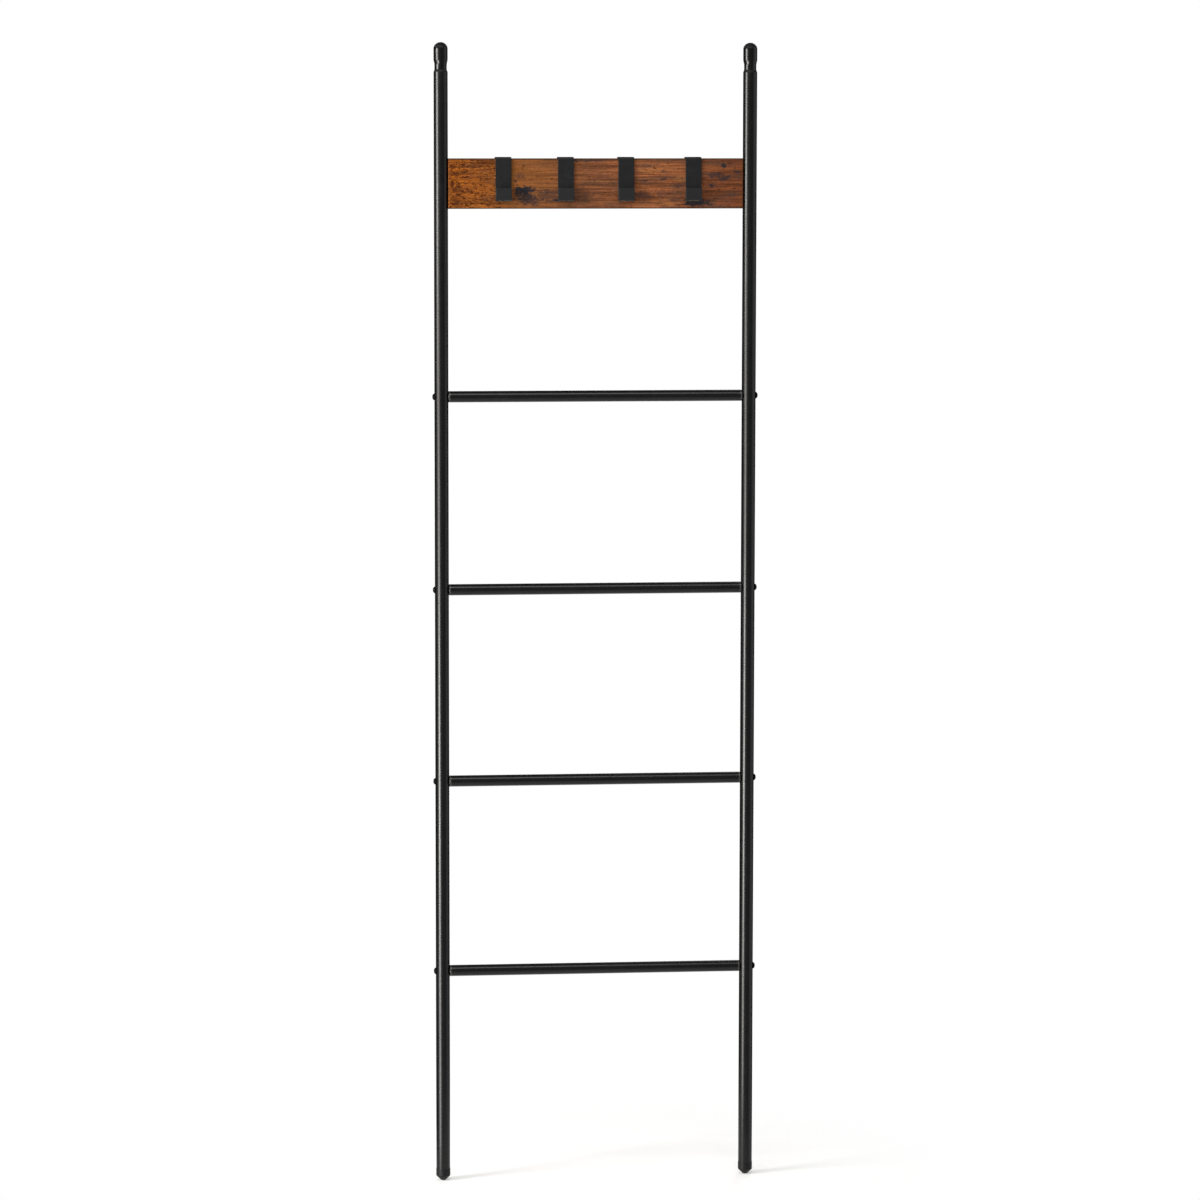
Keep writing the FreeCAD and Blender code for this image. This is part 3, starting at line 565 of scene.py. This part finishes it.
finishes = {
    "black_tube": dark_finish(
        "satin_black_coat", (0.006, 0.0061, 0.0067), roughness=0.28, specular=0.27,
        peel_depth=0.000001, scuffs=0.12, dust=0.04,
    ),
    "black_moulding": dark_finish(
        "top_cap_moulding", (0.0034, 0.0033, 0.0036), roughness=0.27, specular=0.3, cloud=0.12,
        peel_scale=700.0, peel_depth=0.000001, wear_and_light=cap_wear, dust=0.03,
    ),
    "foot_moulding": dark_finish(
        "foot_rubber", (0.006, 0.006, 0.0064), roughness=0.48, specular=0.2, cloud=0.3, cloud_scale=200.0,
        peel_scale=1500.0, dust=0.15,
    ),
    # Plugs coloured grey rather than black: painted glint on the collar at each rung end.
    "rung_plug": dark_finish(
        "rung_end_plug_painted_glint", (0.045, 0.044, 0.043), roughness=0.26, specular=0.5, cloud=0.15,
        peel_scale=700.0, peel_depth=0.000004,
    ),
    "black_bolt": dark_finish(
        "black_oxide_bolt", (0.004, 0.004, 0.0045), roughness=0.55, specular=0.08, cloud=0.3,
        cloud_scale=400.0, scuffs=0.2, scuff_run=(1200.0, 1200.0, 1200.0), rub=0.15,
        rubbed=(0.04, 0.04, 0.042), dust=0.04,
    ),
    "black_tab": dark_finish(
        "tab_coat", (0.008, 0.008, 0.0088), roughness=0.36, specular=0.3,
        scuffs=0.3, scuff_run=(60.0, 900.0, 900.0), rub=0.4,
    ),
    "hook_strip": dark_finish(
        "hook_coat", (0.0158, 0.0163, 0.0179), roughness=0.42, specular=0.14, cloud=0.12, cloud_scale=110.0,
        peel_scale=1300.0, peel_depth=0.00001, wear_and_light=hook_painted_light, scuffs=0.3, scuff_run=(700.0, 700.0, 60.0),
        rub=0.3, rubbed=(0.05, 0.05, 0.052), dust=0.0,
    ),
    "board_face": board_finish(),
    "board_edging": edging_finish("dark_edging", DARK_EDGING),
    "zinc_screw": zinc_finish(),
}

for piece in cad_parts.values():
    for holder in piece.material_slots:
        holder.material = finishes[holder.material.name.split(".")[0]]
for end, colour in END_EDGINGS.items():
    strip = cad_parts[f"board_{end}_edging"]
    strip.material_slots[0].material = edging_finish(f"{end}_end_edging", colour)


# Weld beads that join the board's tabs to the legs (lengths in m)

BEAD_RADIUS = 0.00115
BEAD_PAST_TAB = 0.0003
BEAD_SUNK = 0.0007
BEAD_END_GAP = 0.002
BEAD_CORNERS = 14
BEAD_TAPER = 14.0
BEAD_TIP = 0.15
RIPPLES = 16
RINGS_PER_RIPPLE = 6
RIPPLE_HEIGHT = 0.00032
RIPPLE_SOFTNESS = 0.02
RIPPLE_DROOP = 0.00035


def weld_bead(name, side):
    """A rippled bead down the corner between a tab's outer edge and its leg."""
    low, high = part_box(f"{side}_board_tab")
    middle_across = low.x - BEAD_PAST_TAB if side == "left" else high.x + BEAD_PAST_TAB
    middle_deep = high.y - BEAD_SUNK
    bottom = low.z + BEAD_END_GAP
    length = high.z - BEAD_END_GAP - bottom
    rings = RIPPLES * RINGS_PER_RIPPLE
    bead = bmesh.new()
    rows = []
    for ring in range(rings + 1):
        share = ring / rings
        wave = math.sin(math.pi * (ring % RINGS_PER_RIPPLE) / RINGS_PER_RIPPLE)
        swell = BEAD_RADIUS + RIPPLE_HEIGHT * math.sqrt(wave ** 2 + RIPPLE_SOFTNESS)
        radius = swell * min(1.0, math.sqrt(min(share, 1.0 - share) * BEAD_TAPER) + BEAD_TIP)
        row = []
        for corner in range(BEAD_CORNERS):
            turn = math.tau * corner / BEAD_CORNERS
            row.append(bead.verts.new((
                middle_across + radius * math.cos(turn),
                middle_deep + radius * math.sin(turn),
                bottom + length * share + RIPPLE_DROOP * wave * math.cos(turn),
            )))
        rows.append(row)
    for lower, upper in zip(rows, rows[1:]):
        for corner in range(BEAD_CORNERS):
            following = (corner + 1) % BEAD_CORNERS
            bead.faces.new((lower[corner], lower[following], upper[following], upper[corner]))
    bead.faces.new(list(reversed(rows[0])))
    bead.faces.new(rows[-1])
    bmesh.ops.recalc_face_normals(bead, faces=bead.faces)
    for face in bead.faces:
        face.smooth = len(face.verts) == 4
    mesh = bpy.data.meshes.new(name)
    bead.to_mesh(mesh)
    bead.free()
    mesh.materials.append(finishes["black_tab"])
    piece = bpy.data.objects.new(name, mesh)
    bpy.context.scene.collection.objects.link(piece)
    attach(piece, "frame")


for side in ("left", "right"):
    weld_bead(f"{side}_tab_weld", side)


# Floor and studio

FLOOR_SIDES = 96
FLOOR_CLOUDING = 0.985
CURTAIN_STRIPS = 24
CURTAIN_RADIUS = 3.2
CURTAIN_FOOT = -1.0
CEILING_HEIGHT = 4.5
CEILING_FRONT = -1.2
LAMP_COLOUR = (1.0, 0.975, 0.935)

# Softboxes: place, height on the ladder that each faces, width, height (m), brightness, for gloss only
SOFTBOXES = (
    ("upper_softbox", (-2.68, -1.03, 1.52), 1.4, 0.9, 0.72, 36.0, False),
    ("middle_softbox", (-2.3, -1.72, 0.85), 0.95, 1.5, 0.7, 6.0, False),
    ("lower_softbox", (-2.32, -1.69, 0.19), 0.4, 0.9, 0.55, 56.0, True),
    ("lowest_softbox", (-2.3, -1.72, -0.7), 0.1, 1.5, 0.9, 12.0, True),
    ("overhead_softbox", (-0.3, -1.84, 3.76), 0.9, 2.0, 0.8, 7.0, False),
    ("back_softbox", (1.2, 2.6, 2.6), 0.9, 1.2, 1.2, 4.0, False),
)


def stage_sheet(name, corners, faces, material):
    """A flat or curved sheet of the stage."""
    mesh = bpy.data.meshes.new(name)
    mesh.from_pydata(corners, [], faces)
    mesh.materials.append(material)
    made = bpy.data.objects.new(name, mesh)
    bpy.context.scene.collection.objects.link(made)
    return made


def seen_rays(tree):
    """One for rays that should meet the white studio: camera, glossy and transmission rays."""
    ray = node(tree, "LightPath").outputs
    seen = maths(tree, "MAXIMUM", ray["Is Camera Ray"], ray["Is Glossy Ray"])
    return maths(tree, "MAXIMUM", seen, ray["Is Transmission Ray"])


def lay_floor(radius, clear_from, clear_at, colour, lift):
    """A pale round floor that keeps the shadow near the feet and clears away further out."""
    made, tree, surface = bare_material("pale_floor")
    made.cycles.emission_sampling = "NONE"
    place = part_place(tree)
    cloud = noise(tree, place, scale=3.0, detail=4.0, roughness=0.6)
    clouded = tuple(FLOOR_CLOUDING * part for part in colour)
    tone = ramp(tree, cloud, (0.3, 0.7), (clouded, colour))
    matt = node(tree, "BsdfDiffuse", None, {"Color": tone}).outputs[0]
    shine = maths(tree, "MULTIPLY", seen_rays(tree), lift)
    glow = node(tree, "Emission", None, {"Color": WHITE, "Strength": shine}).outputs[0]
    pale = node(tree, "AddShader", None, {0: matt, 1: glow}).outputs[0]
    clear = node(tree, "BsdfTransparent").outputs[0]
    share = ease(tree, vectors(tree, "LENGTH", place), clear_from, clear_at)
    mixed = node(tree, "MixShader", None, {0: share, 1: pale, 2: clear}).outputs[0]
    tree.links.new(mixed, surface)
    turns = [math.tau * step / FLOOR_SIDES for step in range(FLOOR_SIDES)]
    rim = [(radius * math.cos(turn), radius * math.sin(turn), 0.0) for turn in turns]
    stage_sheet("floor", rim, [range(FLOOR_SIDES)], made)


def light_studio(ambient):
    """White all round where it is seen or mirrored, and a soft even fill on what it lights."""
    world = bpy.data.worlds.new("studio")
    bpy.context.scene.world = world
    world.use_nodes = True
    tree = world.node_tree
    tree.nodes.clear()
    strength = ease(tree, seen_rays(tree), start=0.0, end=1.0, first=ambient)
    sky = node(tree, "Background", None, {"Color": WHITE, "Strength": strength})
    tree.links.new(sky.outputs[0], node(tree, "OutputWorld").inputs["Surface"])


def softbox(name, place, faced_height, width, height, brightness, gloss_only):
    """A flat panel lamp; brightness is what its face would show, with white paper as 1."""
    lamp = bpy.data.lights.new(name, "AREA")
    lamp.shape = "RECTANGLE"
    lamp.size = width
    lamp.size_y = height
    lamp.energy = brightness * math.pi * width * height
    lamp.color = LAMP_COLOUR
    made = bpy.data.objects.new(name, lamp)
    made.location = place
    aim = Vector((0.0, 0.0, faced_height)) - Vector(place)
    made.rotation_euler = aim.to_track_quat("-Z", "Y").to_euler()
    made.visible_camera = False
    made.visible_diffuse = not gloss_only
    bpy.context.scene.collection.objects.link(made)


def hang_cloth(name, corners, faces, glow):
    """A dark cloth of the studio that only gloss sees; it keeps the edges of the tubes dark."""
    made, tree, surface = bare_material(name)
    made.cycles.emission_sampling = "NONE"
    shine = node(tree, "Emission", None, {"Color": WHITE, "Strength": glow})
    tree.links.new(shine.outputs[0], surface)
    cloth = stage_sheet(name, corners, faces, made)
    cloth.visible_camera = False
    cloth.visible_diffuse = False
    cloth.visible_shadow = False
    cloth.visible_transmission = False


def hang_curtain(name, first, last, glow):
    """A curved curtain from one angle to another, in degrees round from the front, to the right."""
    shares = [step / CURTAIN_STRIPS for step in range(CURTAIN_STRIPS + 1)]
    turns = [math.radians(first + (last - first) * share) for share in shares]
    rim = [(CURTAIN_RADIUS * math.sin(turn), -CURTAIN_RADIUS * math.cos(turn)) for turn in turns]
    foot = [(across, along, CURTAIN_FOOT) for across, along in rim]
    head = [(across, along, CEILING_HEIGHT) for across, along in rim]
    to_head = len(foot)
    strips = [(step, step + 1, step + 1 + to_head, step + to_head) for step in range(CURTAIN_STRIPS)]
    hang_cloth(name, foot + head, strips, glow)


def hang_ceiling(name, glow):
    """A level cloth over the ladder and behind it, open to the front."""
    rim = ((-CURTAIN_RADIUS, CEILING_FRONT), (CURTAIN_RADIUS, CEILING_FRONT),
           (CURTAIN_RADIUS, CURTAIN_RADIUS), (-CURTAIN_RADIUS, CURTAIN_RADIUS))
    corners = [(across, along, CEILING_HEIGHT) for across, along in rim]
    hang_cloth(name, corners, [range(len(corners))], glow)


lay_floor(radius=4.0, clear_from=0.15, clear_at=0.6, colour=(0.86, 0.86, 0.86), lift=0.25)
light_studio(ambient=0.4)
for lamp in SOFTBOXES:
    softbox(*lamp)
hang_curtain("curtain_behind", first=-252.0, last=-100.0, glow=0.0)
hang_curtain("curtain_in_front", first=-100.0, last=55.0, glow=0.22)
hang_ceiling("ceiling_cloth", glow=0.0)


# Camera


def set_camera(place, yaw, tilt, roll, lens, film_width, far):
    """A camera turned in degrees: yaw to the left, tilt downwards, and roll about its own line of sight."""
    made = bpy.data.cameras.new("camera")
    made.lens = lens
    made.sensor_width = film_width
    made.clip_end = far
    camera = bpy.data.objects.new("camera", made)
    turns = ((yaw, "Z"), (90.0 - tilt, "X"), (roll, "Z"))
    stand = Matrix.Translation(place)
    for degrees, axis in turns:
        stand = stand @ Matrix.Rotation(math.radians(degrees), 4, axis)
    camera.matrix_world = stand
    bpy.context.scene.collection.objects.link(camera)
    bpy.context.scene.camera = camera


set_camera(place=(-0.6593, -6.6222, 1.5912), yaw=-5.744, tilt=6.404, roll=0.076, lens=139.965,
           film_width=36.0, far=100.0)
bpy.context.scene.view_settings.view_transform = "Standard"
